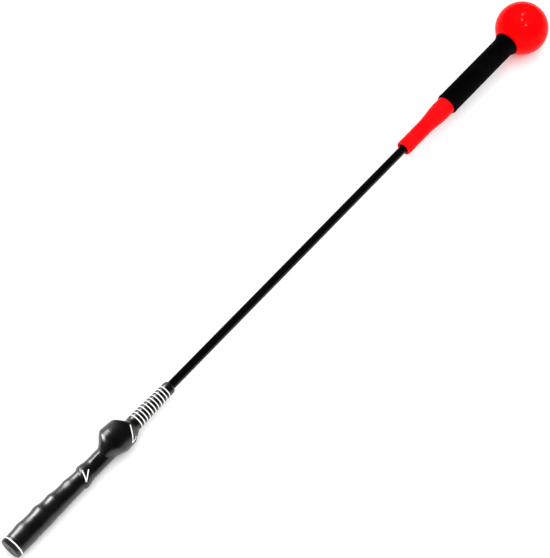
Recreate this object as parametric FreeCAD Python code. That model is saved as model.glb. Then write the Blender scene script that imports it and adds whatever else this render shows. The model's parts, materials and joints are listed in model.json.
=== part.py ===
"""Swing trainer stick: a weighted ball on a whippy glass-fibre shaft, with a moulded training grip.

Every piece is modelled about the stick's own axis, which is X here, from the butt end at 0 to the crown of the
ball. Angles round the axis start at +Y and turn towards +Z. At the end each piece is laid down: the stick rests
on the floor, z = 0, on its ball and on its butt cap, so its axis climbs slightly from the butt to the ball.
"""
import FreeCAD
import Part
import math
import os
from FreeCAD import Vector

# Driving dimensions, in millimetres.
STICK_LENGTH = 1016.0         # butt face to the crown of the ball, 40 inches
GRIP_LENGTH = 275.5           # butt face to the mouth of the grip
SHAFT_BUTT_DIAMETER = 11.6
SHAFT_TIP_DIAMETER = 11.0
BALL_DIAMETER = 72.0
BALL_SKIN = 12.0              # wall of the soft ball
SLEEVE_DIAMETER = 29.3
SLEEVE_LENGTH = 132.0         # lip of the foam sleeve to the plane of its flared rim
COLLAR_LENGTH = 92.6
COLLAR_MOUTH_DIAMETER = 20.8
COLLAR_BELL_DIAMETER = 26.0
WEIGHT_TUBE_DIAMETER = 19.0
STUD_THREAD_DIAMETER = 10.0

# Clearances between pieces, radial.
SLIP = 0.10                   # a piece that slides over another in assembly
SEAT = 0.05                   # faces that butt up to each other
TAPE = 0.25                   # thickness of the double-sided tapes

# Butt cap and its ring.
CAP_DIAMETER = 28.2
CAP_THICKNESS = 5.6
CAP_EDGE = 2.4                # rounding of the cap's outer edge
CAP_STEM = 18.0               # how far the stem enters the core sleeve
VENT_DIAMETER = 3.0
BUTT_RING_WIDTH = 1.6
BUTT_RING_DEPTH = 1.4

# Core sleeve that builds the rod up to the grip's bore.
CORE_START = 12.0
CORE_LENGTH = 200.0
CORE_BUTT_DIAMETER = 15.0
CORE_MOUTH_DIAMETER = 13.6
PIN_DIAMETER = 2.5
BUTT_PIN_X = 60.0

# Ringed front end of the grip.
RING_COUNT = 11
RING_PITCH = 5.1
RING_WIDTH = 1.5
RING_DEPTH = 0.9
FIRST_RING_SETBACK = 61.0     # mouth of the grip back to the first ring
NOSE_SETBACK = 64.5           # mouth back to where the sculpted part ends
NOSE_BACK_DIAMETER = 20.2
NOSE_FRONT_DIAMETER = 16.6
NOSE_CHAMFER = 2.6
NOSE_STEP = 0.3               # how far the nose stands out of the sculpted part

# Sculpted part of the grip. Radii are from the stick's axis; x is from the butt face.
LOBE_ANGLE = 21.5             # direction of the tall side of the lobe, degrees from +Y towards +Z
GRIP_BUTT_RADIUS = 14.0
GRIP_NECK_RADIUS = 11.15
GRIP_EASE = (30.0, 130.0)     # where the grip narrows from the butt to the neck
NECK_OFFSET = 1.5             # how far the neck's section sits away from the lobe side
FINGER_BUMPS = (28.0, 55.0, 76.0, 103.0)
FINGER_BUMP_HEIGHT = 1.1
FINGER_BUMP_WIDTH = 7.0
PAD_X = 123.0                 # slanted ridge that carries the first hand mark
PAD_SLANT = 4.0
PAD_HEIGHT = 1.6
PAD_WIDTH = 7.5
LOBE_START = 157.0
LOBE_RISE = 20.0
LOBE_END = 206.0
LOBE_FALL = 26.0
LOBE_TALL = 13.2              # height over the neck on the tall side
LOBE_LOW = 5.2                # height over the neck on the side opposite
LOBE_REST = -110.0            # direction of the side that faces the floor, degrees from the tall side
LOBE_REST_TRIM = 0.16         # share of the lobe's height that is left off there
SECTION_POINTS = 20
SECTION_STEP = 5.0

# Collar.
COLLAR_OGEE = (43.0, 79.0)    # where the bell widens, from the collar's mouth
GROMMET_DIAMETER = 14.6
GROMMET_LENGTH = 12.0
GROMMET_RECESS = 1.4
COLLAR_EDGE = 1.2
COLLAR_SEAT = 24.0            # how deep the weight tube sits in the bell

# Foam sleeve.
LIP_OVERLAP = 2.8             # lip that reaches over the bell
LIP_SWELL = 0.3
FLARE_DIAMETER = 34.6
FLARE_LENGTH = 7.5
FLARE_EDGE = 1.6

# Inside the ball.
THRUST_WASHER = 2.0
SHAFT_IN_TUBE = 122.0         # how far the rod enters the weight tube
STUD_SHANK = 30.0             # how far the stud enters the weight tube
COUNTERBORE_DIAMETER = 22.0
NUT_ROOM = 16.0               # floor of the counterbore back from the core's crown
WASHER_DIAMETER = 20.0
WASHER_THICKNESS = 1.6
LOCK_WASHER_DIAMETER = 17.0
LOCK_WASHER_THICKNESS = 2.2
LOCK_WASHER_GAP = 2.0
NUT_FLATS = 17.0
NUT_THICKNESS = 8.0
STUD_PROUD = 1.4              # thread standing out of the nut

# Places along the axis that follow from them.
ball_radius = BALL_DIAMETER / 2
ball_x = STICK_LENGTH - ball_radius
core_radius = ball_radius - BALL_SKIN - SEAT
grip_start = CAP_THICKNESS + BUTT_RING_WIDTH
nose_x = GRIP_LENGTH - NOSE_SETBACK
nose_end = GRIP_LENGTH
flare_radius = FLARE_DIAMETER / 2
rim_x = ball_x - math.sqrt((ball_radius + FLARE_EDGE) ** 2 - flare_radius ** 2)
sleeve_start = rim_x - SLEEVE_LENGTH
bell_end = sleeve_start + LIP_OVERLAP - SEAT
collar_start = bell_end - COLLAR_LENGTH
tube_start = bell_end - COLLAR_SEAT
tube_radius = WEIGHT_TUBE_DIAMETER / 2
seat_radius = tube_radius + 1.5
core_seat_x = ball_x - math.sqrt(core_radius ** 2 - seat_radius ** 2)
tube_end = core_seat_x - THRUST_WASHER - 2 * SEAT
shaft_start = CORE_START + CAP_STEM + 2.0
shaft_end = tube_start + SHAFT_IN_TUBE
counterbore_x = ball_x + core_radius - NUT_ROOM


def shaft_radius(x):
    """Radius of the rod, which tapers evenly from its butt to its tip."""
    share = (x - shaft_start) / (shaft_end - shaft_start)
    return (SHAFT_BUTT_DIAMETER + (SHAFT_TIP_DIAMETER - SHAFT_BUTT_DIAMETER) * share) / 2


def core_outer(x):
    """Outer radius of the core sleeve, which tapers from the butt to its mouth."""
    share = (x - CORE_START) / CORE_LENGTH
    return (CORE_BUTT_DIAMETER + (CORE_MOUTH_DIAMETER - CORE_BUTT_DIAMETER) * share) / 2


def corner(before, at, after, radius):
    """The tangent arc that rounds the corner at `at`, as (first point, arc, last point), in the X-Y plane."""
    a = (before - at).normalize()
    b = (after - at).normalize()
    half = a.getAngle(b) / 2
    back = radius / math.tan(half)
    bisector = (a + b).normalize()
    centre = at + bisector * (radius / math.sin(half))
    first = at + a * back
    last = at + b * back
    return first, Part.Arc(first, centre - bisector * radius, last).toShape(), last


def outline(points):
    """A closed wire through (x, r) or (x, r, rounding) points, in the X-Y plane."""
    places = [Vector(p[0], p[1], 0) for p in points]
    count = len(points)
    edges = []
    ends = []
    for i, point in enumerate(points):
        if len(point) == 3:
            first, arc, last = corner(places[i - 1], places[i], places[(i + 1) % count], point[2])
            ends.append((first, last))
            edges.append(arc)
        else:
            ends.append((places[i], places[i]))
    for i in range(count):
        leave = ends[i][1]
        reach = ends[(i + 1) % count][0]
        if leave.distanceToPoint(reach) > 1e-6:
            edges.append(Part.LineSegment(leave, reach).toShape())
    return Part.Wire(Part.__sortEdges__(edges))


def turned(wire):
    """A solid of revolution about the stick's axis."""
    face = Part.Face(wire)
    solid = face.revolve(Vector(0, 0, 0), Vector(1, 0, 0), 360)
    return solid if solid.Volume > 0 else solid.reversed()


def ring(x0, x1, inner, outer):
    """A plain turned ring, or a disc if inner is 0."""
    return turned(outline([(x0, inner), (x1, inner), (x1, outer), (x0, outer)]))


def rod_between(x, radius, length):
    """A pin across the stick at x, centred on the axis and lying along Y."""
    return Part.makeCylinder(radius, length, Vector(x, -length / 2, 0), Vector(0, 1, 0))


def smooth(t):
    """0 below 0, 1 above 1, and an even S between."""
    t = min(1.0, max(0.0, t))
    return t * t * (3 - 2 * t)


def grip_radius(x, turn):
    """Radius of the sculpted grip at x, `turn` radians round from the lobe's tall side."""
    ease = smooth((x - GRIP_EASE[0]) / (GRIP_EASE[1] - GRIP_EASE[0]))
    radius = GRIP_BUTT_RADIUS + (GRIP_NECK_RADIUS - GRIP_BUTT_RADIUS) * ease
    radius -= NECK_OFFSET * ease * math.cos(turn)
    finger_side = 0.25 + 0.75 * smooth((1 + math.cos(turn - math.radians(25))) / 1.6)
    for bump_x in FINGER_BUMPS:
        radius += FINGER_BUMP_HEIGHT * finger_side * math.exp(-(((x - bump_x) / FINGER_BUMP_WIDTH) ** 2))
    pad_x = PAD_X + PAD_SLANT * math.cos(turn)
    radius += PAD_HEIGHT * math.exp(-(((x - pad_x) / PAD_WIDTH) ** 2))
    reach = LOBE_START - 10 * max(0.0, math.sin(turn)) + 8 * smooth(-math.cos(turn))
    rise = smooth((x - reach) / LOBE_RISE)
    fall = min(1.0, max(0.0, (LOBE_END - 3 * smooth(-math.cos(turn)) - x) / LOBE_FALL))
    side = ((1 + math.cos(turn)) / 2) ** 1.4
    height = LOBE_LOW + (LOBE_TALL - LOBE_LOW) * side
    height *= 1 - LOBE_REST_TRIM * smooth(math.cos(turn - math.radians(LOBE_REST)))
    return radius + height * rise * (1 - (1 - fall) ** 2)


def grip_section(x, blend):
    """The grip's closed section at x. At blend 1 it is a circle, a small step under the nose."""
    nose = NOSE_BACK_DIAMETER / 2 - NOSE_STEP
    points = []
    for i in range(SECTION_POINTS):
        turn = 2 * math.pi * i / SECTION_POINTS
        radius = grip_radius(x, turn)
        radius += (nose - radius) * blend
        angle = turn + math.radians(LOBE_ANGLE)
        points.append(Vector(x, radius * math.cos(angle), radius * math.sin(angle)))
    curve = Part.BSplineCurve()
    curve.interpolate(Points=points, PeriodicFlag=True)
    return Part.Wire([curve.toShape()])


def groove_xs():
    """Where each white ring starts, from the butt side to the mouth."""
    first = nose_end - FIRST_RING_SETBACK
    return [first + RING_PITCH * i - RING_WIDTH / 2 for i in range(RING_COUNT)]


def nose_radius(x):
    """Outer radius of the ringed front end."""
    share = (x - nose_x) / NOSE_SETBACK
    return (NOSE_BACK_DIAMETER + (NOSE_FRONT_DIAMETER - NOSE_BACK_DIAMETER) * share) / 2


def nose_ring(x, clearance=0.0):
    """One white ring, its outside flush with the nose and its root a constant depth under it."""
    end = x + RING_WIDTH
    return turned(outline([
        (x, nose_radius(x) - RING_DEPTH - clearance),
        (end, nose_radius(end) - RING_DEPTH - clearance),
        (end, nose_radius(end)),
        (x, nose_radius(x)),
    ]))


def nose_outline():
    """The ringed front end in section: grooves outside, and a bore that clears the taped core and then the rod."""
    points = [(nose_x, nose_radius(nose_x))]
    for x in groove_xs():
        end = x + RING_WIDTH
        points.append((x, nose_radius(x)))
        points.append((x, nose_radius(x) - RING_DEPTH))
        points.append((end, nose_radius(end) - RING_DEPTH))
        points.append((end, nose_radius(end)))
    points.append((nose_end - NOSE_CHAMFER, nose_radius(nose_end - NOSE_CHAMFER), 1.0))
    points.append((nose_end, nose_radius(nose_end) - NOSE_CHAMFER / 2, 0.6))
    core_end = CORE_START + CORE_LENGTH + SEAT
    points.append((nose_end, shaft_radius(nose_end) + SEAT))
    points.append((core_end, shaft_radius(core_end) + SEAT))
    points.append((core_end, core_outer(core_end) + TAPE))
    points.append((nose_x, core_outer(nose_x) + TAPE))
    return outline(points)


def make_grip():
    """Moulded rubber grip: a sculpted handle and a ringed nose, with a small step where the nose begins."""
    stations = int((nose_x - grip_start) / SECTION_STEP)
    sections = []
    for i in range(stations + 1):
        x = grip_start + (nose_x - grip_start) * i / stations
        sections.append(grip_section(x, smooth((x - LOBE_END) / (nose_x - LOBE_END))))
    handle = Part.makeLoft(sections, True, False)
    bore = turned(outline([
        (grip_start - 1, 0),
        (nose_x + 1, 0),
        (nose_x + 1, core_outer(nose_x + 1) + TAPE),
        (CORE_START, core_outer(CORE_START) + TAPE),
        (grip_start - 1, core_outer(CORE_START) + TAPE),
    ]))
    return handle.cut(bore).fuse(turned(nose_outline()))


def make_ferrule_rings():
    """The white rings that fill the nose's grooves."""
    return Part.makeCompound([nose_ring(x) for x in groove_xs()])


def make_butt_cap():
    """Butt cap: a rounded disc, a step for the ring, a plug in the grip and a vented stem in the core sleeve."""
    radius = CAP_DIAMETER / 2
    stem = shaft_radius(shaft_start) - SEAT
    cap = turned(outline([
        (0, 0),
        (0, radius, CAP_EDGE),
        (CAP_THICKNESS, radius),
        (CAP_THICKNESS, radius - BUTT_RING_DEPTH),
        (grip_start, radius - BUTT_RING_DEPTH),
        (grip_start, core_outer(CORE_START) + TAPE - SEAT),
        (CORE_START - SEAT, core_outer(CORE_START) + TAPE - SEAT),
        (CORE_START - SEAT, stem),
        (CORE_START + CAP_STEM, stem, 1.0),
        (CORE_START + CAP_STEM, 0),
    ]))
    vent = ring(-1, CORE_START + CAP_STEM + 1, 0, VENT_DIAMETER / 2)
    return cap.cut(vent)


def make_butt_ring():
    """White ring between the cap and the grip."""
    radius = CAP_DIAMETER / 2
    return ring(CAP_THICKNESS, grip_start, radius - BUTT_RING_DEPTH, radius)


def make_core_sleeve():
    """Moulded sleeve that builds the thin rod up to the grip's bore, drilled across for its pin."""
    end = CORE_START + CORE_LENGTH
    bore = SHAFT_BUTT_DIAMETER / 2 + SLIP
    sleeve = turned(outline([
        (CORE_START, bore),
        (end, bore),
        (end, core_outer(end)),
        (CORE_START, core_outer(CORE_START)),
    ]))
    return sleeve.cut(rod_between(BUTT_PIN_X, PIN_DIAMETER / 2, CORE_BUTT_DIAMETER + 2))


def make_grip_tape():
    """Double-sided tape wound on the core sleeve."""
    end = CORE_START + CORE_LENGTH
    return turned(outline([
        (CORE_START, core_outer(CORE_START)),
        (end, core_outer(end)),
        (end, core_outer(end) + TAPE),
        (CORE_START, core_outer(CORE_START) + TAPE),
    ]))


def make_butt_pin():
    """Pin through the core sleeve and the rod."""
    return rod_between(BUTT_PIN_X, PIN_DIAMETER / 2, 2 * core_outer(BUTT_PIN_X) - 0.4)


def weight_pin_x():
    """The weight tube's pin sits halfway between the bell's end and the tip of the rod."""
    return (bell_end + shaft_end) / 2


def make_shaft():
    """Whippy glass-fibre rod, drilled across for its two pins."""
    rod = turned(outline([
        (shaft_start, 0),
        (shaft_start, shaft_radius(shaft_start), 0.6),
        (shaft_end, shaft_radius(shaft_end), 0.6),
        (shaft_end, 0),
    ]))
    across = SHAFT_BUTT_DIAMETER + 2
    rod = rod.cut(rod_between(BUTT_PIN_X, PIN_DIAMETER / 2, across))
    return rod.cut(rod_between(weight_pin_x(), PIN_DIAMETER / 2 + SLIP, across))


def ogee(x0, r0, x1, r1):
    """Two equal tangent arcs that climb from (x0, r0) to (x1, r1) and are level at both ends."""
    run = x1 - x0
    rise = r1 - r0
    radius = (run ** 2 + rise ** 2) / (4 * rise)
    half_turn = math.asin(run / 2 / radius) / 2
    middle = Vector((x0 + x1) / 2, (r0 + r1) / 2, 0)
    along = radius * math.sin(half_turn)
    up = radius * (1 - math.cos(half_turn))
    lower = Part.Arc(Vector(x0, r0, 0), Vector(x0 + along, r0 + up, 0), middle)
    upper = Part.Arc(middle, Vector(x1 - along, r1 - up, 0), Vector(x1, r1, 0))
    return [lower.toShape(), upper.toShape()]


def make_taper_collar():
    """Red collar: a rounded mouth with a grommet seat, a long neck, and a bell that takes the weight tube."""
    neck = COLLAR_MOUTH_DIAMETER / 2
    bell = COLLAR_BELL_DIAMETER / 2
    x0 = collar_start + COLLAR_OGEE[0]
    x1 = collar_start + COLLAR_OGEE[1]
    blank = turned(outline([
        (collar_start, 0),
        (collar_start, neck, COLLAR_EDGE),
        (x0, neck),
        (x0, 0),
    ]))
    widening = Part.Wire(ogee(x0, neck, x1, bell) + [
        Part.LineSegment(Vector(x1, bell, 0), Vector(bell_end, bell, 0)).toShape(),
        Part.LineSegment(Vector(bell_end, bell, 0), Vector(bell_end, 0, 0)).toShape(),
        Part.LineSegment(Vector(bell_end, 0, 0), Vector(x0, 0, 0)).toShape(),
        Part.LineSegment(Vector(x0, 0, 0), Vector(x0, neck, 0)).toShape(),
    ])
    blank = blank.fuse(turned(widening)).removeSplitter()
    grommet_end = collar_start + GROMMET_RECESS + GROMMET_LENGTH
    clear = shaft_radius(grommet_end) + SLIP
    bore = turned(outline([
        (collar_start - 1, 0),
        (bell_end + 1, 0),
        (bell_end + 1, tube_radius + SLIP),
        (tube_start - SEAT, tube_radius + SLIP),
        (tube_start - SEAT, clear),
        (grommet_end, clear),
        (grommet_end, GROMMET_DIAMETER / 2),
        (collar_start - 1, GROMMET_DIAMETER / 2),
    ]))
    return blank.cut(bore)


def make_collar_grommet():
    """Rubber grommet that centres the collar on the rod."""
    start = collar_start + GROMMET_RECESS
    end = start + GROMMET_LENGTH
    return turned(outline([
        (start, shaft_radius(start) + SEAT),
        (end, shaft_radius(start) + SEAT),
        (end, GROMMET_DIAMETER / 2),
        (start, GROMMET_DIAMETER / 2, 0.8),
    ]))


def make_weight_tube():
    """Steel tube that weights the head and carries the ball, drilled across for the rod's and the stud's pins."""
    bore = shaft_radius(tube_start) + SLIP
    tube = ring(tube_start, tube_end, bore, tube_radius)
    for x in (weight_pin_x(), stud_pin_x()):
        tube = tube.cut(rod_between(x, PIN_DIAMETER / 2, WEIGHT_TUBE_DIAMETER + 2))
    return tube


def make_weight_pin():
    """Pin through the weight tube and the rod."""
    return rod_between(weight_pin_x(), PIN_DIAMETER / 2, WEIGHT_TUBE_DIAMETER - 0.6)


def make_sleeve_tape():
    """Double-sided tape wound on the weight tube, under the foam."""
    return ring(bell_end + SEAT, rim_x - FLARE_LENGTH, tube_radius, tube_radius + TAPE)


def make_foam_sleeve():
    """Foam sleeve: a lip over the bell, a straight barrel and a flared end that hugs the ball."""
    outer = SLEEVE_DIAMETER / 2
    inner = tube_radius + TAPE + SEAT
    bell = COLLAR_BELL_DIAMETER / 2 + SEAT
    hug = ball_radius + SEAT
    hug_x = ball_x - math.sqrt(hug ** 2 - (flare_radius - FLARE_EDGE / 2) ** 2)
    lip = outer + LIP_SWELL
    shell = turned(outline([
        (sleeve_start, 0),
        (sleeve_start, lip, 1.4),
        (sleeve_start + 2 * LIP_OVERLAP, outer, 6.0),
        (rim_x - FLARE_LENGTH, outer, 4.0),
        (rim_x - FLARE_EDGE / 2, flare_radius, 0.8),
        (hug_x + FLARE_EDGE, flare_radius - FLARE_EDGE / 4),
        (hug_x + FLARE_EDGE, 0),
    ]))
    inside = turned(outline([
        (sleeve_start - 1, 0),
        (ball_x, 0),
        (ball_x, inner),
        (sleeve_start + LIP_OVERLAP, inner),
        (sleeve_start + LIP_OVERLAP, bell),
        (sleeve_start - 1, bell),
    ]))
    return shell.cut(inside).cut(Part.makeSphere(hug, Vector(ball_x, 0, 0)))


def make_thrust_washer():
    """Fibre washer between the weight tube and the core."""
    start = tube_end + SEAT
    return ring(start, start + THRUST_WASHER, STUD_THREAD_DIAMETER / 2 + SLIP + 0.2, tube_radius)


def over(start, end, radius):
    """The arc of a circle about the ball's centre from one (x, r) point to another, over the top."""
    top = Vector(ball_x, radius, 0)
    return Part.Arc(Vector(*start, 0), top, Vector(*end, 0)).toShape()


def chain(points):
    """Straight edges through (x, r) points."""
    places = [Vector(*p, 0) for p in points]
    return [Part.LineSegment(places[i], places[i + 1]).toShape() for i in range(len(places) - 1)]


def make_ball_shell():
    """Soft ball: a thick skin, open at the neck for the weight tube."""
    hole = tube_radius + SLIP
    inner = ball_radius - BALL_SKIN
    outer_neck = (ball_x - math.sqrt(ball_radius ** 2 - hole ** 2), hole)
    inner_neck = (ball_x - math.sqrt(inner ** 2 - hole ** 2), hole)
    crown = (ball_x + ball_radius, 0)
    inner_crown = (ball_x + inner, 0)
    edges = [over(outer_neck, crown, ball_radius)]
    edges += chain([crown, inner_crown])
    edges += [over(inner_crown, inner_neck, inner)]
    edges += chain([inner_neck, outer_neck])
    return turned(Part.Wire(edges))


def make_ball_core():
    """Cast weight: a ball with a flat for the tube, a bore for the stud and a counterbore for the nut."""
    bore = STUD_THREAD_DIAMETER / 2 + 0.3
    mouth = COUNTERBORE_DIAMETER / 2
    seat_edge = (core_seat_x, seat_radius)
    mouth_edge = (ball_x + math.sqrt(core_radius ** 2 - mouth ** 2), mouth)
    floor_edge = (counterbore_x, mouth)
    floor_bore = (counterbore_x, bore)
    edges = [over(seat_edge, mouth_edge, core_radius)]
    edges += chain([mouth_edge, floor_edge, floor_bore, (core_seat_x, bore), seat_edge])
    return turned(Part.Wire(edges))


def stud_pin_x():
    """The stud's pin is in the middle of the shank."""
    return tube_end - STUD_SHANK / 2


def nut_x():
    """Underside of the nut, on its two washers."""
    return counterbore_x + WASHER_THICKNESS + LOCK_WASHER_THICKNESS


def make_rod_stud():
    """Steel stud: a shank pinned in the weight tube and a thread through the core."""
    thread = STUD_THREAD_DIAMETER / 2
    shank = shaft_radius(tube_start) + SLIP - SEAT
    end = nut_x() + NUT_THICKNESS + STUD_PROUD
    stud = turned(outline([
        (tube_end - STUD_SHANK, 0),
        (tube_end - STUD_SHANK, shank, 0.8),
        (tube_end, shank),
        (tube_end, thread),
        (end, thread, 0.8),
        (end, 0),
    ]))
    return stud.cut(rod_between(stud_pin_x(), PIN_DIAMETER / 2, SHAFT_BUTT_DIAMETER + 2))


def make_stud_pin():
    """Pin through the weight tube and the stud."""
    return rod_between(stud_pin_x(), PIN_DIAMETER / 2, WEIGHT_TUBE_DIAMETER - 0.6)


def make_core_washer():
    """Plain washer on the floor of the counterbore."""
    bore = STUD_THREAD_DIAMETER / 2 + SLIP
    return ring(counterbore_x, counterbore_x + WASHER_THICKNESS, bore, WASHER_DIAMETER / 2)


def make_lock_washer():
    """Split spring washer under the nut."""
    bore = STUD_THREAD_DIAMETER / 2 + SLIP
    start = counterbore_x + WASHER_THICKNESS
    washer = ring(start, start + LOCK_WASHER_THICKNESS, bore, LOCK_WASHER_DIAMETER / 2)
    corner_point = Vector(start - 1, 0, -LOCK_WASHER_GAP / 2)
    gap = Part.makeBox(LOCK_WASHER_THICKNESS + 2, LOCK_WASHER_DIAMETER, LOCK_WASHER_GAP, corner_point)
    return washer.cut(gap)


def make_core_nut():
    """Hexagon nut that holds the core on the stud."""
    corners = []
    for i in range(7):
        angle = math.radians(60 * i)
        reach = NUT_FLATS / math.sqrt(3)
        corners.append(Vector(nut_x(), reach * math.cos(angle), reach * math.sin(angle)))
    hexagon = Part.Face(Part.makePolygon(corners)).extrude(Vector(NUT_THICKNESS, 0, 0))
    bore = ring(nut_x() - 1, nut_x() + NUT_THICKNESS + 1, 0, STUD_THREAD_DIAMETER / 2)
    return hexagon.cut(bore)


def lay_down():
    """Placement that rests the stick on the floor on its butt cap and its ball, centred over the origin."""
    reach = ball_x - CAP_EDGE
    waist = CAP_DIAMETER / 2 - CAP_EDGE
    climb = math.asin((ball_radius - CAP_EDGE) / math.hypot(reach, waist)) - math.atan2(waist, reach)
    butt_z = ball_radius - ball_x * math.sin(climb)
    low_x = CAP_EDGE * math.cos(climb) - waist * math.sin(climb) - CAP_EDGE
    high_x = ball_x * math.cos(climb) + ball_radius
    turn = FreeCAD.Rotation(Vector(0, 1, 0), -math.degrees(climb))
    return FreeCAD.Placement(Vector(-(low_x + high_x) / 2, 0, butt_z), turn)


PIECES = {
    "grip": make_grip,
    "ferrule_rings": make_ferrule_rings,
    "butt_cap": make_butt_cap,
    "butt_ring": make_butt_ring,
    "core_sleeve": make_core_sleeve,
    "grip_tape": make_grip_tape,
    "butt_pin": make_butt_pin,
    "shaft": make_shaft,
    "taper_collar": make_taper_collar,
    "collar_grommet": make_collar_grommet,
    "weight_tube": make_weight_tube,
    "weight_pin": make_weight_pin,
    "sleeve_tape": make_sleeve_tape,
    "foam_sleeve": make_foam_sleeve,
    "thrust_washer": make_thrust_washer,
    "ball_shell": make_ball_shell,
    "ball_core": make_ball_core,
    "rod_stud": make_rod_stud,
    "stud_pin": make_stud_pin,
    "core_washer": make_core_washer,
    "lock_washer": make_lock_washer,
    "core_nut": make_core_nut,
}

os.makedirs("parts", exist_ok=True)
resting = lay_down()
for name, make in PIECES.items():
    shape = make()
    shape.Placement = resting.multiply(shape.Placement)
    shape.exportStep("parts/" + name + ".step")
    box = shape.BoundBox
    print(f"{name:16s} solids {len(shape.Solids):2d} valid {shape.isValid()} volume {shape.Volume:10.1f} "
          f"x {box.XMin:8.2f} {box.XMax:8.2f} z {box.ZMin:7.2f} {box.ZMax:7.2f}")
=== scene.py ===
import json
import math

import bpy
import numpy as np
from mathutils import Matrix, Vector


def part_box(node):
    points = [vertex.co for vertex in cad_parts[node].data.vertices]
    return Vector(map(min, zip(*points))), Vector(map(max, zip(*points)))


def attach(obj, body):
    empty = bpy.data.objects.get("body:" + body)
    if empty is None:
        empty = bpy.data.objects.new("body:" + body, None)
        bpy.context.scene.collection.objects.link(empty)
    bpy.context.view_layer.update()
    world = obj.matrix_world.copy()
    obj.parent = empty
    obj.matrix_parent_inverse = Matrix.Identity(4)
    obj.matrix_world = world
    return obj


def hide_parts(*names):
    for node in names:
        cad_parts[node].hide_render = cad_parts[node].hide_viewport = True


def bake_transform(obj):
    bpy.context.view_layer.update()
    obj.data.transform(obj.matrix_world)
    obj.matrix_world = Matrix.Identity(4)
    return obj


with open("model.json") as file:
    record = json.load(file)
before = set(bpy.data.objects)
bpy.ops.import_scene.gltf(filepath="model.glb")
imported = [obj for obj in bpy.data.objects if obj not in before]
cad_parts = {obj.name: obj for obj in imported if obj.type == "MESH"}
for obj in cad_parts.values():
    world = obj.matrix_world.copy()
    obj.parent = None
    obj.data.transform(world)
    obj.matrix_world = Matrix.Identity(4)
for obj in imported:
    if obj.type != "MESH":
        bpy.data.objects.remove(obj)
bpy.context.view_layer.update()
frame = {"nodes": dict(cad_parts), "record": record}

# ---------------------------------------------------------------- grip
# One moulding of black rubber: finger bumps, a slanted pad, a narrow neck, a thumb lobe with a sharp front
# edge, and a nose with grooves for the white rings. It is slid over double-sided tape and glued there.

MM = 0.001
BUTT = Vector(next(m["pos_m"] for m in frame["record"]["mounts"] if m["name"] == "butt_end"))
BUTT.y = 0.0
ball_low, ball_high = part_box("ball_shell")
BALL = (ball_low + ball_high) / 2
BALL.y = 0.0
ALONG = np.array((BALL - BUTT).normalized())
SIDE = np.array((0.0, 1.0, 0.0))
UP = np.cross(ALONG, SIDE)


def on_stick(x, radius, turn):
    """Places, from x along the stick from its butt, radius from its axis, and the turn from the far side
    towards up: the butt, plus x along the axis, plus radius across it. All in mm, but the places in
    metres."""
    across = np.cos(turn)[..., None] * SIDE + np.sin(turn)[..., None] * UP
    return np.array(BUTT) + MM * (x[..., None] * ALONG + radius[..., None] * across)


def reach(node):
    """(nearest, farthest, widest) of a CAD node: distances along the stick from its butt, and radius, in
    mm."""
    mesh = frame["nodes"][node].data
    co = np.empty(len(mesh.vertices) * 3, np.float32)
    mesh.vertices.foreach_get("co", co)
    away = (co.reshape(-1, 3) - np.array(BUTT)) / MM
    x = away @ ALONG
    radius = np.linalg.norm(away - x[:, None] * ALONG, axis=1)
    return float(x.min()), float(x.max()), float(radius.max())


def skin(name, points, poles=False):
    """A closed mesh over a grid of points. Columns join up, last to first. So do rows, unless there are
    poles: then the first and last rows are closed by fans to their own centres."""
    rows, columns = points.shape[:2]
    index = np.arange(rows * columns).reshape(rows, columns)
    right = np.roll(index, -1, axis=1)
    below = np.roll(index, -1, axis=0)
    corner = np.roll(right, -1, axis=0)
    quads = np.stack([index, below, corner, right], axis=-1)
    faces = (quads[:-1] if poles else quads).reshape(-1, 4).tolist()
    places = points.reshape(-1, 3)
    if poles:
        places = np.vstack([places, points[0].mean(axis=0), points[-1].mean(axis=0)])
        first, last = rows * columns, rows * columns + 1
        faces += np.stack([np.full(columns, first), index[0], right[0]], axis=-1).tolist()
        faces += np.stack([np.full(columns, last), right[-1], index[-1]], axis=-1).tolist()
    mesh = bpy.data.meshes.new(name)
    mesh.from_pydata(places.tolist(), [], faces)
    mesh.polygons.foreach_set("use_smooth", np.ones(len(mesh.polygons), bool))
    mesh.update()
    piece = bpy.data.objects.new(name, mesh)
    bpy.context.scene.collection.objects.link(piece)
    return piece


def smooth(t):
    """0 below 0, 1 above 1, an even S between."""
    t = np.clip(t, 0.0, 1.0)
    return t * t * (3 - 2 * t)


def hump(d, width):
    """A bell curve of height 1 at d = 0."""
    return np.exp(-((d / width) ** 2))


def turn_from(turn, degrees):
    """Signed turn in degrees from a direction, the short way round."""
    return (np.degrees(turn) - degrees + 180) % 360 - 180


# The handle. Places are mm from the butt, and directions are degrees round from the lobe's tall side.
LOBE_ANGLE = math.radians(21.5)  # the tall side itself, turned up from the far side
BUTT_RADIUS, NECK_LOSS, NECK_OFFSET = 14.0, 2.85, 1.5
EASE_START, EASE_LENGTH = 30, 100
FINGER_BUMPS = ((26.5, 1.0), (55, 1.55), (76, 1.25), (102, 1.0))  # place, height
BUMP_WIDTH, BUMP_FACING, BUMP_SPREAD, BUMP_LEAST = 6.2, 25, 1.6, 0.25
PAD_START, PAD_SLANT, PAD_HEIGHT, PAD_RISE, PAD_FALL = 115, 4, 1.9, 5, 15
DISHES = ((1.15, 101, 10, 62, 38), (0.55, 143, 12, 100, 50))  # depth, place, length, direction, spread
BUTT_DENTS = ((0, 0.55, 0.5), (3.2, 0.35, 0.8))  # place from the grip's own end, depth, width

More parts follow.
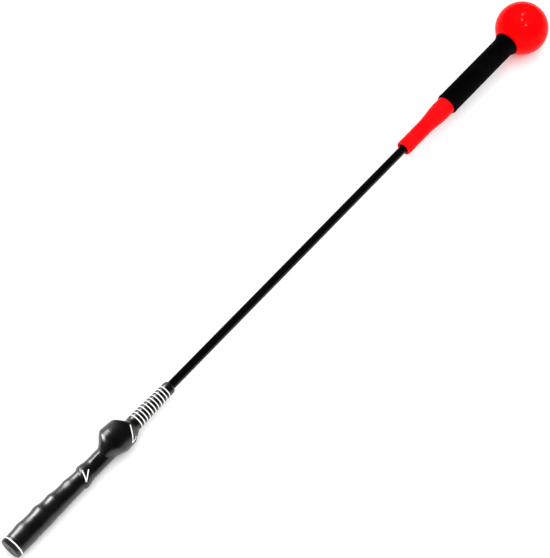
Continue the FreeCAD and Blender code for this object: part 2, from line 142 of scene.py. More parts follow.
# The lobe: how it starts and rises, where its top ends, the crest of its front, and how tall it is.
LOBE_START, LOBE_SLANT, LOBE_RISE, LOBE_TOP = 157, 8, 19, 178
CREST, CREST_AHEAD, CREST_FACING, CREST_SPREAD = 193, 9, 75, 46
CORNER_AHEAD, CORNER_FACING, CORNER_SPREAD = 2.5, 165, 32
CREST_KEPT, CREST_CUT, CUT_FACING, CUT_SPREAD, FALL_POWER = 0.92, 0.51, 80, 42, 1.5
FRONT_RUN, FRONT_STEEPER = 12.5, 5
LOBE_LOW, LOBE_TALL, TALL_POWER = 5.2, 8.0, 1.4
FLOOR_TRIM, FLOOR_FACING = 0.16, -110
SETTLE_START, SETTLE_LENGTH = 203, 8

# Hand-position marks in shallow painted strokes, and a soft ridge by the thumb: (place, direction) points.
HAND_MARKS = (((122.8, 69), (117.0, 126), (128.8, 91)), ((201.9, 84), (190.0, 150), (198.5, 147)))
STROKE, MARK_DEPTH, MARK_MARGIN, MARK_WALL = 0.72, 0.16, 0.2, 0.35
THUMB_RIDGE = ((176, 4), (170, 30), (162, 50), (150, 62), (140, 68))
RIDGE_HEIGHT, RIDGE_WIDTH = 0.45, 2.6

# The nose: black lands that taper to the mouth, a groove for each white ring, and the bore inside them.
grip_start, grip_end, _ = reach("grip")
ring_start, ring_end, _ = reach("ferrule_rings")
RINGS, RING_WIDTH, GROOVE = 11, 1.5, 0.85
RING_PITCH = (ring_end - ring_start - RING_WIDTH) / (RINGS - 1)
NOSE_LENGTH, NOSE_BACK, NOSE_FRONT, NOSE_STEP, STEP_RUN = 64.5, 10.1, 8.3, 0.25, 0.12
nose_x = grip_end - NOSE_LENGTH
GROOVE_NEAR = ((-0.35, 0), (-0.10, 0.05), (0, 0.22), (0.03, GROOVE))  # ahead of the edge, below the land
GROOVE_FAR = ((-0.03, GROOVE), (0, 0.25), (0.10, 0.08), (0.35, 0))
# The mouth's chamfer: back from the mouth, and inwards from the front land.
MOUTH = ((4.2, -0.12), (2.6, -0.08), (2.2, 0), (0.9, 0.62), (0.35, 0.95), (0.05, 1.35), (0, 1.6))
MOUTH_BORE, NECK_BORE, BUTT_BORE = 5.95, 7.1, 7.8
BORE_EDGE = ((0, 0.65), (0.1, 0.2), (0.5, 0))  # back from the mouth, outwards from its bore
MOUTH_BORE_FROM, MOUTH_BORE_TO = 20, 60


def lobe_height(x, turn):
    """Height of the thumb lobe: a rise that starts on a slant, times a front that falls gently to its
    crest and then steeply to the nose. It is taller on one side, and trimmed where it faces the floor."""
    facing = hump(turn_from(turn, CREST_FACING), CREST_SPREAD)
    corner = hump(turn_from(turn, CORNER_FACING), CORNER_SPREAD)
    crest = CREST + CREST_AHEAD * facing + CORNER_AHEAD * corner
    kept = CREST_KEPT - CREST_CUT * hump(turn_from(turn, CUT_FACING), CUT_SPREAD)
    start = LOBE_START - LOBE_SLANT * np.maximum(0, np.sin(turn)) + LOBE_SLANT * smooth(-np.cos(turn))
    rise = smooth((x - start) / LOBE_RISE)
    gentle = 1 - (1 - kept) * np.clip((x - LOBE_TOP) / (crest - LOBE_TOP), 0, 1) ** FALL_POWER
    past = np.clip((x - crest) / (FRONT_RUN - FRONT_STEEPER * facing), 0, 1)
    steep = np.clip(2 * (1 - smooth(0.5 + 0.5 * past)), 0, 1)
    tall = ((1 + np.cos(turn)) / 2) ** TALL_POWER
    trim = 1 - FLOOR_TRIM * smooth(np.cos(turn - math.radians(FLOOR_FACING)))
    return (LOBE_LOW + LOBE_TALL * tall) * trim * rise * gentle * steep


def handle_radius(x, turn):
    """Radius of the handle: a cylinder that eases in to an offset neck, plus the finger bumps and the
    slanted pad, less the dishes, plus the lobe. It settles to the nose's radius at its end."""
    ease = smooth((x - EASE_START) / EASE_LENGTH)
    radius = BUTT_RADIUS - NECK_LOSS * ease - NECK_OFFSET * ease * np.cos(turn)
    gripped = smooth((1 + np.cos(turn - math.radians(BUMP_FACING))) / BUMP_SPREAD)
    for bump, height in FINGER_BUMPS:
        radius += height * (BUMP_LEAST + (1 - BUMP_LEAST) * gripped) * hump(x - bump, BUMP_WIDTH)
    edge = PAD_START + PAD_SLANT * np.cos(turn)
    radius += PAD_HEIGHT * smooth((x - edge) / PAD_RISE) * (1 - smooth((x - edge - PAD_RISE) / PAD_FALL))
    for depth, place, length, direction, spread in DISHES:
        radius -= depth * hump(x - place, length) * hump(turn_from(turn, direction), spread)
    radius += lobe_height(x, turn)
    settle = smooth((x - SETTLE_START) / SETTLE_LENGTH)
    return radius + (NOSE_BACK - NOSE_STEP - radius) * settle


def stroke_gap(x, turn, radius, stroke):
    """Distance in mm, over the surface, from each point to a chain of straight strokes between (place,
    direction) points: the distance to each stroke's nearest point, and the least of those."""
    gap = np.full(x.shape, np.inf)
    for (x0, a0), (x1, a1) in zip(stroke[:-1], stroke[1:]):
        dx, dy = x - x0, radius * np.radians(turn_from(turn, a0))
        run, climb = x1 - x0, radius * math.radians(a1 - a0)
        share = np.clip((dx * run + dy * climb) / (run**2 + climb**2), 0, 1)
        gap = np.minimum(gap, np.hypot(dx - share * run, dy - share * climb))
    return gap


def land(x):
    """Radius of the nose's black lands, which taper evenly to the mouth."""
    return NOSE_BACK + (NOSE_FRONT - NOSE_BACK) * (x - nose_x) / NOSE_LENGTH


def nose_profile():
    """(x, radius) down the ringed nose: a step up to the lands, a groove at each ring, a chamfered lip at
    the mouth, and the edge of its bore."""
    at = [(nose_x, NOSE_BACK - NOSE_STEP), (nose_x + STEP_RUN, NOSE_BACK)]
    for i in range(RINGS):
        near = ring_start + RING_PITCH * i
        at += [(near + ahead, land(near) - below) for ahead, below in GROOVE_NEAR]
        at += [(near + RING_WIDTH + ahead, land(near) - below) for ahead, below in GROOVE_FAR]
    at += [(grip_end - back, NOSE_FRONT - inwards) for back, inwards in MOUTH]
    return at + [(grip_end - back, MOUTH_BORE + outwards) for back, outwards in BORE_EDGE]


def build_grip():
    """The handle's rows, the nose's rows, and a plain bore back to the butt, as one closed skin. Two
    attributes go with it: the distance to the nearest hand mark, and how hollow the surface is there."""
    columns, handle_rows = 184, 372
    turn = np.linspace(0, 2 * math.pi, columns, endpoint=False)
    evenly = np.linspace(grip_start + 0.7, nose_x - 0.5, handle_rows)
    rows = np.concatenate([[grip_start, grip_start + 0.25], evenly])
    x, across = np.meshgrid(rows, turn, indexing="ij")
    radius = handle_radius(x, across)
    radius -= sum(depth * hump(x - grip_start - place, width) for place, depth, width in BUTT_DENTS)
    radius += RIDGE_HEIGHT * hump(stroke_gap(x, across, radius, THUMB_RIDGE), RIDGE_WIDTH)
    mark = np.minimum(*(stroke_gap(x, across, radius, stroke) for stroke in HAND_MARKS))
    radius -= MARK_DEPTH * smooth((STROKE + MARK_MARGIN - mark) / MARK_WALL)
    bore = [(grip_end - MOUTH_BORE_FROM, MOUTH_BORE), (grip_end - MOUTH_BORE_TO, MOUTH_BORE)]
    bore += [(nose_x - 2, NECK_BORE), (grip_start, BUTT_BORE)]
    tail = np.array(nose_profile() + bore)
    x = np.vstack([x, np.repeat(tail[:, :1], columns, axis=1)])
    radius = np.vstack([radius, np.repeat(tail[:, 1:], columns, axis=1)])
    across = np.vstack([across, np.repeat(turn[None], len(tail), axis=0)])
    piece = skin("grip_rubber_body", on_stick(x, radius, across + LOBE_ANGLE))
    hollow = 4 * np.gradient(np.gradient(radius, axis=0), axis=0)
    hollow[rows.size - 1 :] = 0
    gaps = np.full(x.shape, 9.0)
    gaps[: rows.size] = mark
    for name, values in (("mark_gap", gaps), ("hollow", hollow)):
        layer = piece.data.attributes.new(name, "FLOAT", "POINT")
        layer.data.foreach_set("value", values.ravel().astype(np.float32))
    return piece


class Link:
    """A socket in a material. Arithmetic on links, or on links and numbers, adds Math nodes."""

    def __init__(self, tree, socket):
        self.tree, self.socket = tree, socket

    def node(self, kind, settings=None, sockets=None, out=0):
        """A node of this kind: its settings are made first, then its sockets are filled from values or
        links."""
        made = self.tree.nodes.new(kind)
        for name, value in (settings or {}).items():
            setattr(made, name, value)
        for name, value in (sockets or {}).items():
            if isinstance(value, Link):
                self.tree.links.new(value.socket, made.inputs[name])
            else:
                made.inputs[name].default_value = value
        return Link(self.tree, made.outputs[out])

    def maths(self, operation, a, b):
        """One Math node on two links or numbers."""
        return self.node("ShaderNodeMath", {"operation": operation}, {0: a, 1: b})

    def __add__(self, other):
        return self.maths("ADD", self, other)

    def __rsub__(self, other):
        return self.maths("SUBTRACT", other, self)

    def __mul__(self, other):
        return self.maths("MULTIPLY", self, other)

    __radd__, __rmul__ = __add__, __mul__

    def between(self, low, high):
        """0 at low, 1 at high, an even S between."""
        settings = {"interpolation_type": "SMOOTHSTEP"}
        return self.node("ShaderNodeMapRange", settings, {0: self, 1: low, 2: high, 3: 0.0, 4: 1.0})

    def noise(self, scale, detail=3.0, rough=0.5):
        """Cloudy noise, 0 to 1, with scale features to the metre."""
        sockets = {"Vector": self, "Scale": scale, "Detail": detail, "Roughness": rough}
        return self.node("ShaderNodeTexNoise", {}, sockets)

    def cells(self, scale):
        """Distance to the nearest of many scattered points, each the middle of a cell."""
        return self.node("ShaderNodeTexVoronoi", {}, {"Vector": self, "Scale": scale})

    def blend(self, colour, other):
        """From one colour to another as this link goes from 0 to 1."""
        settings = {"data_type": "RGBA"}
        return self.node("ShaderNodeMix", settings, {0: self, 6: colour, 7: other}, out=2)

    def scaled(self, x, y, z):
        """Places stretched along each axis, so that a pattern on them runs lengthwise."""
        return self.node("ShaderNodeMapping", {}, {"Vector": self, "Scale": (x, y, z)})

    def attribute(self, name):
        """A number that the mesh carries at each of its points."""
        return self.node("ShaderNodeAttribute", {"attribute_name": name}, out=2)


def rgb(red, green, blue):
    """An opaque colour."""
    return (red, green, blue, 1.0)


def start_finish(name):
    """A new material: (material, its place link in object coordinates, its surface shader)."""
    material = bpy.data.materials.new(name)
    material.use_nodes = True
    tree = material.node_tree
    shader = tree.nodes["Principled BSDF"]
    place = tree.nodes.new("ShaderNodeTexCoord")
    return material, Link(tree, place.outputs["Object"]), shader


def dress(shader, links=None, values=None):
    """Links to what varies over the surface, and plain numbers on what does not."""
    for name, link in (links or {}).items():
        link.tree.links.new(link.socket, shader.inputs[name])
    for name, value in (values or {}).items():
        shader.inputs[name].default_value = value


def bumped(height, depth):
    """A normal from a height link, with its depth in mm where the height is 1."""
    return height.node("ShaderNodeBump", {}, {"Strength": 1.0, "Distance": MM * depth, "Height": height})


def wear(*pieces, finish, slot, body, stands_for=()):
    """Gives pieces their material, the body they move with and the CAD nodes they replace. The slot
    is not used."""
    for piece in pieces:
        piece.data.materials.clear()
        piece.data.materials.append(finish)
        if body:
            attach(piece, body)
        if stands_for:
            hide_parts(*stands_for)


def rubber_finish():
    """Black moulded rubber: a fine grain, palms' polish in patches, grey dust in the hollows, and white
    paint in the marks."""
    material, place, shader = start_finish("moulded grip rubber")
    black, worn = rgb(0.0018, 0.0017, 0.0015), rgb(0.0038, 0.0036, 0.0031)
    dust_grey, paint = rgb(0.013, 0.0123, 0.0108), rgb(0.83, 0.83, 0.8)
    grain = place.noise(2600, 2.0, 0.6)
    cloud = place.noise(38, 4.0, 0.6)
    dust = place.attribute("hollow").between(0.1, 0.9) * cloud
    painted = 1 - place.attribute("mark_gap").between(STROKE - 0.12, STROKE + 0.12)
    chipped = painted * place.noise(900, 3.0, 0.7).between(0.24, 0.34)
    colour = chipped.blend(dust.blend(cloud.between(0.3, 0.7).blend(black, worn), dust_grey), paint)
    roughness = 0.27 + cloud.between(0.25, 0.75) * 0.08 + grain * 0.04 + dust * 0.2
    links = {"Base Color": colour, "Roughness": roughness, "Normal": bumped(grain + cloud * 0.3, 0.03)}
    dress(shader, links, {"Specular IOR Level": 0.5})
    return material


grip = build_grip()
wear(grip, finish=rubber_finish(), slot="grip_rubber", body="handle", stands_for=("grip",))

# ---------------------------------------------------------------- white rings in the nose
# Soft white bands set in the moulded grooves, a touch below the black lands and slightly soiled at their
# edges. They are made here as solid inlays.

BAND_CROWN, BAND_BELOW, BAND_ROUNDING = 0.02, 0.16, 0.09


def turned(name, profile, columns=128, poles=False):
    """A profile of (x, radius) carried once round the stick's axis."""
    turn = np.linspace(0, 2 * math.pi, columns, endpoint=False)
    x = np.repeat(profile[:, :1], columns, axis=1)
    radius = np.repeat(profile[:, 1:], columns, axis=1)
    return skin(name, on_stick(x, radius, np.repeat(turn[None], len(profile), axis=0)), poles)


def band(name, start, end, outer, inner, crown):
    """A turned band: a parabola's slight crown outside, less a sixth power that rounds its edges, and a
    plain bore."""
    share = np.linspace(0, 1, 9)
    out_from_middle = 2 * share - 1
    outside = outer + crown * (1 - out_from_middle**2) - BAND_ROUNDING * np.abs(out_from_middle) ** 6
    inside = np.array([(end, inner), (start, inner)])
    return turned(name, np.vstack([np.stack([start + (end - start) * share, outside], axis=-1), inside]))


def white_finish():
    """Matt white moulding with faint grime."""
    material, place, shader = start_finish("white inlay")
    grime = place.noise(240, 5.0, 0.65).between(0.45, 0.8)
    colour = (grime * 0.5).blend(rgb(0.88, 0.88, 0.86), rgb(0.60, 0.585, 0.55))
    normal = bumped(place.noise(1900), 0.02)
    dress(shader, {"Base Color": colour, "Roughness": 0.42 + grime * 0.2, "Normal": normal})
    return material


white = white_finish()
bands = []
for i in range(RINGS):
    near = ring_start + RING_PITCH * i
    outer, inner = land(near) - BAND_BELOW, land(near) - GROOVE
    bands.append(band(f"nose_ring_{i + 1:02d}", near, near + RING_WIDTH, outer, inner, BAND_CROWN))
wear(*bands, finish=white, slot="white_inlay", body="handle", stands_for=("ferrule_rings",))

# ---------------------------------------------------------------- ring at the butt
# A white moulded band, trapped between the cap's disc and the grip.

BUTT_BAND_WALL, BUTT_BAND_CROWN = 1.4, 0.03
band_start, band_end, band_radius = reach("butt_ring")
band_bore = band_radius - BUTT_BAND_WALL
butt_band = band("butt_band", band_start, band_end, band_radius, band_bore, BUTT_BAND_CROWN)
wear(butt_band, finish=white, slot="white_inlay", body="handle", stands_for=("butt_ring",))

# ---------------------------------------------------------------- butt cap
# Black moulded disc with a rounded edge, a shallow dished face and a small vent. Its plug is pushed into
# the core sleeve.


def eased(corners, cuts=7):
    """(x, radius) points through corners of (x, radius, rounding): each corner is a quadratic curve
    between its two tangent points, and a point just outside each tangent holds the flats flat."""
    hold = 0.12
    corners = [tuple(c) + (0.0,) * (3 - len(c)) for c in corners]
    places = np.array([c[:2] for c in corners])
    out = []
    for i, (_, _, rounding) in enumerate(corners):
        here = places[i]
        if rounding <= 0:
            out.append(here)
            continue
        before, after = places[i - 1] - here, places[(i + 1) % len(places)] - here
        before, after = before / np.linalg.norm(before), after / np.linalg.norm(after)
        share = np.linspace(0, 1, cuts)[:, None]
        first, last = here + before * rounding, here + after * rounding
        out.append(first + before * rounding * hold)
        out.extend((1 - share) ** 2 * first + 2 * share * (1 - share) * here + share**2 * last)
        out.append(last + after * rounding * hold)
    return np.array(out)


CAP_RADIUS = reach("butt_cap")[2]
VENT, DISH_DEPTH, DISH_EDGE, RIM_WIDTH = 1.5, 0.35, 4.6, 3.4
CAP_NECK, PLUG_RADIUS, PLUG_SHOWN = CAP_RADIUS - 1.45, 7.6, 12
cap_profile = eased(
    [
        (PLUG_SHOWN, VENT),
        (0.9, VENT, 0.4),
        (DISH_DEPTH, VENT + 1.6, 0.4),
        (DISH_DEPTH, CAP_RADIUS - DISH_EDGE, 0.8),
        (0, CAP_RADIUS - RIM_WIDTH, 0.5),
        (0, CAP_RADIUS, 2.3),
        (band_start, CAP_RADIUS, 0.25),
        (band_start, CAP_NECK),
        (band_end, CAP_NECK),
        (band_end, PLUG_RADIUS),
        (PLUG_SHOWN, PLUG_RADIUS),
    ]
)


def cap_finish():
    """Black satin plastic with a fine spark-eroded grain and rubbed edges."""
    material, place, shader = start_finish("butt cap plastic")
    grain = place.noise(1500, 3.0, 0.7)
    scuffs = place.noise(160, 6.0, 0.75).between(0.52, 0.72)
    colour = (scuffs * 0.7).blend(rgb(0.014, 0.014, 0.0143), rgb(0.04, 0.039, 0.0375))
    roughness = 0.38 + grain * 0.1 + scuffs * 0.15
    dress(shader, {"Base Color": colour, "Roughness": roughness, "Normal": bumped(grain, 0.04)})
    return material


cap = turned("butt_cap_disc", cap_profile)
wear(cap, finish=cap_finish(), slot="cap_plastic", body="handle", stands_for=("butt_cap",))

# ---------------------------------------------------------------- shaft
# Glass-fibre rod, pulled through a die, ground to a light taper and lacquered gloss black. It is the
# spring of the stick: it bends between the grip and the collar.

shaft_start, shaft_end, shaft_wide = reach("shaft")
SHAFT_TIP, SHAFT_ROUNDING = 5.5, 0.6


def build_shaft():
    """A rod that tapers evenly and is narrowed at its very ends. It is cut every 2 mm, so that it bends as a
    curve."""
    share = np.linspace(0, 1, 440)
    x = shaft_start + (shaft_end - shaft_start) * share
    radius = shaft_wide + (SHAFT_TIP - shaft_wide) * share
    ends = np.minimum(x - shaft_start, shaft_end - x)
    radius = radius - SHAFT_ROUNDING * (1 - np.clip(ends / SHAFT_ROUNDING, 0, 1))
    return turned("shaft_rod", np.stack([x, radius], axis=-1), columns=48, poles=True)


def rod_finish():
    """Gloss black lacquer: lengthwise fibres show faintly, with hairline rubs along the rod."""
    material, place, shader = start_finish("lacquered rod")
    fibres = place.scaled(1.2, 60, 60).noise(24, 5.0, 0.6)
    rubs = place.scaled(0.9, 40, 40).noise(11, 6.0, 0.8).between(0.62, 0.72)
    colour = fibres.between(0.35, 0.7).blend(rgb(0.0009, 0.0009, 0.001), rgb(0.0026, 0.0026, 0.0028))
    roughness = 0.2 + fibres * 0.09 + rubs * 0.18
    links = {"Base Color": colour, "Roughness": roughness, "Normal": bumped(fibres, 0.012)}
    dress(shader, links, {"Specular IOR Level": 0.16})
    return material


shaft = build_shaft()
wear(shaft, finish=rod_finish(), slot="black_rod", body=None, stands_for=("shaft",))
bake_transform(shaft)

# ---------------------------------------------------------------- collar
# Red gloss moulding: a rounded mouth, a long neck, and a bell that widens to the foam and holds the weight
# tube.

collar_start, collar_end, bell_radius = reach("taper_collar")
NECK_RADIUS, OGEE_START, OGEE_END = 10.4, 43.0, 79.0
COLLAR_MOUTH, ROD_BORE, TUBE_BORE = 7.3, 5.75, 9.65
MOUTH_DEPTH, SOCKET_DEPTH = 13.4, 24


def build_collar():
    """Neck, an even S to the bell, the bell's end, and a stepped bore back to the mouth."""
    start, end = collar_start, collar_end
    share = np.linspace(0, 1, 48)
    wide = NECK_RADIUS + (bell_radius - NECK_RADIUS) * smooth(share)
    ogee = np.stack([start + OGEE_START + (OGEE_END - OGEE_START) * share, wide], axis=-1)
    mouth = eased([(start + 9, COLLAR_MOUTH), (start, COLLAR_MOUTH, 1.0), (start, NECK_RADIUS, 1.3)])
    neck = np.stack([start + np.linspace(3, OGEE_START - 1, 14), np.full(14, NECK_RADIUS)], axis=-1)
    bell = eased([(end - 3, bell_radius), (end, bell_radius, 0.35), (end, TUBE_BORE)])
    socket = [(end - SOCKET_DEPTH, TUBE_BORE), (end - SOCKET_DEPTH, ROD_BORE)]
    seat = [(start + MOUTH_DEPTH, ROD_BORE), (start + MOUTH_DEPTH, COLLAR_MOUTH)]
    return turned("taper_collar_body", np.vstack([mouth, neck, ogee, bell, socket, seat]))


def red_gloss(name, deep, bright, peel, rough, gloss):
    """Red gloss moulding: slight flow marks in the colour, a faint orange-peel and fine handling
    scratches."""
    material, place, shader = start_finish(name)
    flow = place.noise(30, 3.0, 0.5).between(0.3, 0.7)
    ripple = place.noise(peel, 2.0, 0.4)
    scratches = place.scaled(1, 14, 3).noise(120, 4.0, 0.8).between(0.66, 0.74)
    roughness = rough + flow * 0.05 + scratches * 0.2
    normal = bumped(ripple + scratches * 0.15, 0.04)
    links = {"Base Color": flow.blend(deep, bright), "Roughness": roughness, "Normal": normal}
    dress(shader, links, {"Specular IOR Level": gloss})
    return material


collar = build_collar()
COLLAR_DEEP, COLLAR_BRIGHT = rgb(0.80, 0.0012, 0.003), rgb(0.90, 0.002, 0.004)
collar_red = red_gloss("collar gloss red", COLLAR_DEEP, COLLAR_BRIGHT, peel=420, rough=0.3, gloss=0.03)
wear(collar, finish=collar_red, slot="red_collar", body="head", stands_for=("taper_collar",))

# ---------------------------------------------------------------- grommet
# Black rubber bush, pressed in the collar's mouth and set back from its rim, round the rod.

bush_start, bush_end, _ = reach("collar_grommet")
BUSH_RADIUS = COLLAR_MOUTH - 0.02
bush_rim = [(bush_start, ROD_BORE, 0.5), (bush_start, BUSH_RADIUS, 0.7)]
bush_profile = eased([(bush_end, ROD_BORE), *bush_rim, (bush_end, BUSH_RADIUS)])


def bush_finish():
    """Matt black rubber with a dusty bloom."""
    material, place, shader = start_finish("bush rubber")
    bloom = place.noise(700, 4.0, 0.6)
    colour = bloom.blend(rgb(0.004, 0.004, 0.004), rgb(0.018, 0.018, 0.018))
    dress(shader, {"Base Color": colour, "Roughness": 0.7 + bloom * 0.2, "Normal": bumped(bloom, 0.05)})
    return material


bush = turned("collar_bush", bush_profile, columns=64)
wear(bush, finish=bush_finish(), slot="black_rubber", body="head", stands_for=("collar_grommet",))

# ---------------------------------------------------------------- foam sleeve
# Closed-cell foam tube, stretched over the taped weight tube: a swollen lip over the bell, a barrel with
# slight slack in it, and an end that flares out and hugs the ball.

foam_start, foam_end, flare_radius = reach("foam_sleeve")
FOAM_RADIUS, FOAM_BORE = 14.65, 9.8
LIP_BORE, LIP_DEPTH, LIP_SWELL, LIP_BACK, LIP_FADE = 13.1, 2.8, 0.3, 2.6, 4.5
FLARE_BACK, FLARE_RUN, FLARE_SHORT, FLARE_POWER = 10.5, 6.6, 0.55, 1.15
RIM_BACK, RIM_LONG, RIM_SHORT, RIM_TALL, RIM_ARC = 3.0, 0.85, 0.75, 0.7, (-0.25, 0.95)
CUP_RADIUS, CUP_BACK = 15.2, 2.2
SWELLS, SWELL_HEIGHT, SWELL_WAVE, PIT_POWER, PIT_DEPTH = 5, (0.02, 0.05), (9, 26), 14, 0.16


def foam_profile():
    """(x, radius) of the lip, the barrel, a neck that widens by an even S, a rim that is part of an
    ellipse, and the bore."""
    inside_lip = (foam_start + LIP_DEPTH, LIP_BORE)
    lip = eased([inside_lip, (foam_start, LIP_BORE, 0.6), (foam_start, FOAM_RADIUS + LIP_SWELL, 1.9)], 12)
    barrel = np.linspace(foam_start + LIP_BACK, foam_end - FLARE_BACK, 210)
    body = FOAM_RADIUS + LIP_SWELL * (1 - smooth((barrel - foam_start - LIP_BACK) / LIP_FADE))
    share = np.linspace(0, 1, 22)[1:]
    neck_x = foam_end - FLARE_BACK + FLARE_RUN * share
    neck = FOAM_RADIUS + (flare_radius - FLARE_SHORT - FOAM_RADIUS) * smooth(share) ** FLARE_POWER
    rim = np.linspace(*RIM_ARC, 12) * math.pi / 2 + math.pi / 2
    rim_x = foam_end - RIM_BACK - RIM_LONG * np.cos(rim)
    rim_radius = flare_radius - RIM_SHORT + RIM_TALL * np.sin(rim)
    outside = [np.stack(run, axis=-1) for run in ((barrel, body), (neck_x, neck), (rim_x, rim_radius))]
    cup = [(foam_end - CUP_BACK, CUP_RADIUS), (foam_end - CUP_BACK - 0.2, FOAM_BORE)]
    return np.vstack([lip, *outside, cup, [(foam_start + LIP_DEPTH, FOAM_BORE)]])


def build_foam():
    """The profile carried round the axis, its outside eased by a few soft waves and pitted by open
    cells."""
    columns = 260
    profile = foam_profile()
    turn = np.linspace(0, 2 * math.pi, columns, endpoint=False)
    x, across = np.meshgrid(profile[:, 0], turn, indexing="ij")
    radius = np.repeat(profile[:, 1:], columns, axis=1)
    draws = np.random.default_rng(7)
    swell = np.zeros(radius.shape)
    for lobes in range(SWELLS):
        height, wave, phase = draws.uniform(*SWELL_HEIGHT), draws.uniform(*SWELL_WAVE), draws.uniform(0, 6)
        swell += height * np.sin(x / wave + lobes * across + phase)
    pits = PIT_DEPTH * draws.random(radius.shape) ** PIT_POWER
    radius = radius + np.where(radius > FOAM_BORE + 2, swell - pits, 0.0)
    return skin("foam_sleeve_body", on_stick(x, radius, across))


def foam_finish():
    """Black foam: a skin of tiny cells, open here and there, dull, and a little paler where hands have
    rubbed."""
    material, place, shader = start_finish("black foam")
    pore = place.cells(1150).between(0.1, 0.55)
    rubbed = place.noise(55, 4.0, 0.6).between(0.45, 0.75)
    colour = (rubbed * 0.5 + pore * 0.2).blend(rgb(0.0005, 0.0005, 0.0005), rgb(0.0022, 0.0022, 0.0022))
    height = pore + place.noise(420, 4.0, 0.7) * 0.8
    links = {"Base Color": colour, "Roughness": 0.8 + pore * 0.15, "Normal": bumped(height, 0.12)}
    dress(shader, links, {"Specular IOR Level": 0.06})
    return material


foam = build_foam()
wear(foam, finish=foam_finish(), slot="black_foam", body="head", stands_for=("foam_sleeve",))

# ---------------------------------------------------------------- ball
# Soft red ball, moulded in two halves and glued over its weight; a fine joint line runs round its middle.

_, ball_end, _ = reach("ball_shell")
BALL_RADIUS = float((ball_high.y - ball_low.y) / 2 / MM)
ball_x = ball_end - BALL_RADIUS
NECK_HOLE, SEAM_HEIGHT, SEAM_WIDTH = 9.62, 0.05, 0.28
SEAM_NEAR, SEAM_OUTER, CROWN_GAP = 0.02, 0.03, 0.012


def build_ball():
    """A sphere from the edge of its neck hole to its crown, closed by a flat at each, with a fine raised
    line round its middle, where the rows are closer together."""
    open_at, middle = math.asin(NECK_HOLE / BALL_RADIUS), math.pi / 2
    near_half = np.linspace(open_at, middle - SEAM_OUTER, 84)
    seam = np.linspace(middle - SEAM_NEAR, middle + SEAM_NEAR, 15)
    far_half = np.linspace(middle + SEAM_OUTER, math.pi - CROWN_GAP, 96)
    polar = np.concatenate([near_half, seam, far_half])
    radius = BALL_RADIUS - SEAM_HEIGHT + SEAM_HEIGHT * hump((polar - middle) * BALL_RADIUS, SEAM_WIDTH)
    outside = np.stack([ball_x - radius * np.cos(polar), radius * np.sin(polar)], axis=-1)
    return turned("ball_skin", outside, columns=240, poles=True)


ball = build_ball()
BALL_DEEP, BALL_BRIGHT = rgb(0.86, 0.0008, 0.0016), rgb(0.94, 0.0012, 0.002)
ball_red = red_gloss("ball gloss red", BALL_DEEP, BALL_BRIGHT, peel=260, rough=0.11, gloss=0.025)
wear(ball, finish=ball_red, slot="red_ball", body="head", stands_for=("ball_shell",))

# ---------------------------------------------------------------- the pieces inside
# Sleeve, tapes, pins, weight tube, washers, core, stud and nut. None shows in the finished stick, but
# each has the finish of its own stuff.


def metal_finish(name, dark, pale, rough, grain):
    """Bare metal: a machined or cast grain, and oil stains that change its gloss."""
    material, place, shader = start_finish(name)
    cut = place.scaled(grain, 1, 1).noise(700, 3.0, 0.6)
    stain = place.noise(90, 5.0, 0.6)
    roughness = rough + cut * 0.15 + stain * 0.1
    links = {"Base Color": stain.blend(dark, pale), "Roughness": roughness, "Normal": bumped(cut, 0.03)}
    dress(shader, links, {"Metallic": 1.0})
    return material


def plain_finish(name, dark, pale, rough, scale):
    """A dull moulded, woven or pressed stuff with mottled colour."""
    material, place, shader = start_finish(name)
    mottle = place.noise(scale, 5.0, 0.65)
    colour = mottle.between(0.3, 0.7).blend(dark, pale)
    links = {"Base Color": colour, "Roughness": rough + mottle * 0.15, "Normal": bumped(mottle, 0.05)}
    dress(shader, links)
    return material


# Each stuff's darkest and palest colour.
STEEL = rgb(0.42, 0.42, 0.43), rgb(0.58, 0.58, 0.59)
OILED = rgb(0.2, 0.2, 0.21), rgb(0.36, 0.36, 0.37)
IRON = rgb(0.09, 0.09, 0.09), rgb(0.2, 0.19, 0.18)
SLEEVE = rgb(0.04, 0.04, 0.043), rgb(0.08, 0.08, 0.085)
TAPE = rgb(0.6, 0.56, 0.47), rgb(0.76, 0.73, 0.64)
FIBRE = rgb(0.22, 0.07, 0.05), rgb(0.38, 0.15, 0.1)
inner_finishes = {
    "bare_steel": metal_finish("turned steel", *STEEL, rough=0.25, grain=6),
    "spring_steel": metal_finish("oiled spring steel", *OILED, rough=0.3, grain=1),
    "cast_weight": metal_finish("cast iron", *IRON, rough=0.55, grain=1),
    "sleeve_plastic": plain_finish("sleeve plastic", *SLEEVE, rough=0.45, scale=300),
    "tape": plain_finish("woven tape", *TAPE, rough=0.75, scale=1400),
    "fibre": plain_finish("pressed fibre", *FIBRE, rough=0.6, scale=500),
}
for entry in frame["record"]["subparts"]:
    finish = inner_finishes.get(entry["material_slot"])
    node = frame["nodes"][entry["node"]]
    if finish:
        node.data.materials.clear()
        node.data.materials.append(finish)

# ---------------------------------------------------------------- floor, lights and camera
# A pale floor and a bright even surround, a wide lamp overhead, a soft strip from the upper left that
# gives the grip its long highlight, and three small lamps that put a row of glints on the ball.

FLOOR_HALF = 30.0
floor_corners = [(x * FLOOR_HALF, y * FLOOR_HALF, 0) for x, y in ((-1, -1), (1, -1), (1, 1), (-1, 1))]
floor_mesh = bpy.data.meshes.new("floor")
floor_mesh.from_pydata(floor_corners, [], [(0, 1, 2, 3)])
floor = bpy.data.objects.new("floor", floor_mesh)
bpy.context.scene.collection.objects.link(floor)
floor_paint, floor_place, floor_shader = start_finish("pale floor")
floor_colour = floor_place.noise(1.5).blend(rgb(0.93, 0.93, 0.93), rgb(0.95, 0.95, 0.95))
dress(floor_shader, {"Base Color": floor_colour}, {"Roughness": 0.9, "Specular IOR Level": 0.1})
floor.data.materials.append(floor_paint)

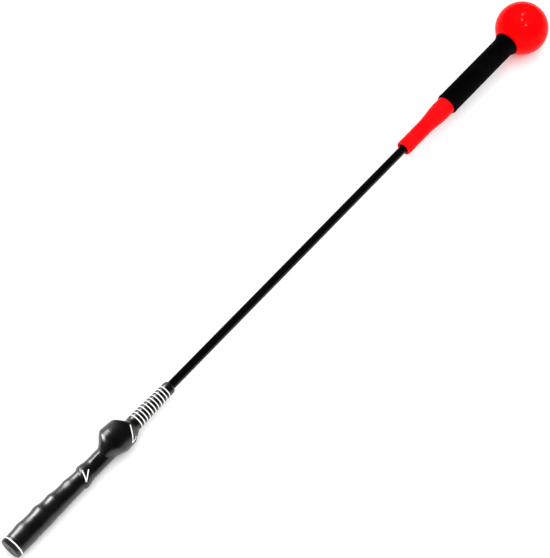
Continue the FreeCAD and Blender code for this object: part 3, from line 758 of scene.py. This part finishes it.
# STICK_RIGHT and STICK_DEPTH say how far each unit along the stick goes to the view's right and away
# from the viewer. The view's middle is AIM_ALONG from the butt and AIM_DEPTH from the camera, which
# then moves by SHIFT to the left and up, all in metres. FOCAL_SHARE is the focal length over the view's
# longer side.
STICK_RIGHT, STICK_DEPTH = 0.6486, 0.3779
AIM_ALONG, AIM_DEPTH, SHIFT = 0.4698, 2.3575, 0.0003
SENSOR, FOCAL_SHARE = 36, 1900 / 558
climb = math.asin(ALONG[2])
right_x = STICK_RIGHT / math.cos(climb)
right = Vector((right_x, -math.sqrt(1 - right_x**2), 0))
ahead = Vector((-right.y, right.x, 0))
flat, rise = ahead.dot(Vector(ALONG)), ALONG[2]
elevation = math.acos(STICK_DEPTH / math.hypot(flat, rise)) - math.atan2(rise, flat)
forward = ahead * math.cos(elevation) - Vector((0, 0, math.sin(elevation)))
upward = right.cross(forward)
camera_data = bpy.data.cameras.new("camera")
camera_data.sensor_width = SENSOR
camera_data.lens = SENSOR * FOCAL_SHARE
camera_data.clip_start, camera_data.clip_end = 0.01, 100
camera = bpy.data.objects.new("camera", camera_data)
bpy.context.scene.collection.objects.link(camera)
aim = BUTT + Vector(ALONG) * AIM_ALONG
camera.matrix_world = Matrix((right, upward, -forward)).transposed().to_4x4()
camera.location = aim - forward * AIM_DEPTH - right * SHIFT + upward * SHIFT
bpy.context.scene.camera = camera


def lamp(name, place, target, size, power, length=None, glossy=True, diffuse=True):
    """A soft lamp at a place, turned to its target: a square, or with a length a strip."""
    light = bpy.data.lights.new(name, "AREA")
    light.size = size
    light.energy = power
    if length:
        light.shape = "RECTANGLE"
        light.size, light.size_y = length, size
    holder = bpy.data.objects.new(name, light)
    bpy.context.scene.collection.objects.link(holder)
    holder.location = place
    holder.rotation_euler = (Vector(target) - Vector(place)).to_track_quat("-Z", "Y").to_euler()
    holder.visible_glossy = glossy
    holder.visible_diffuse = diffuse
    return holder


def shine_only(holder, piece):
    """Keep a lamp's light to one piece."""
    lit = bpy.data.collections.new(f"lit by {holder.name}")
    lit.objects.link(piece)
    holder.light_linking.receiver_collection = lit


lamp("overhead", place=(0, -0.2, 3.2), target=(0, 0, 0), size=4.5, power=100, glossy=False)

KEY_RISE, KEY_AWAY, KEY_X = math.radians(35), 1.9, -0.55
key_place = (KEY_X, KEY_AWAY * math.cos(KEY_RISE), KEY_AWAY * math.sin(KEY_RISE))
key = lamp("soft key", key_place, target=(-0.3, 0, 0.02), size=0.9, power=120, length=1.5, diffuse=False)
shine_only(key, grip)

# Each glint is at (across, up) on the ball as it is seen, in ball radii. Its lamp stands where a mirror
# there would show it.
GLINTS, GLINT_AWAY, GLINT_SIZE, GLINT_POWER = ((0.04, 0.51), (0.015, 0.305), (0.15, 0.11)), 1.5, 0.035, 9.0
sight = (camera.location - BALL).normalized()
across_sight = upward.cross(sight).normalized()
up_sight = sight.cross(across_sight)
for number, (a, b) in enumerate(GLINTS):
    normal = sight * math.sqrt(1 - a * a - b * b) + across_sight * a + up_sight * b
    mirrored = normal * (2 * normal.dot(sight)) - sight
    place = BALL + mirrored * GLINT_AWAY
    shine_only(lamp(f"glint {number}", place, BALL, GLINT_SIZE, GLINT_POWER, diffuse=False), ball)

SURROUND = 1.1
world = bpy.data.worlds.new("studio")
world.use_nodes = True
background = world.node_tree.nodes["Background"]
background.inputs["Color"].default_value = rgb(1, 1, 1)
background.inputs["Strength"].default_value = SURROUND
bpy.context.scene.world = world
world.cycles_visibility.glossy = False
bpy.context.scene.view_settings.view_transform = "Standard"
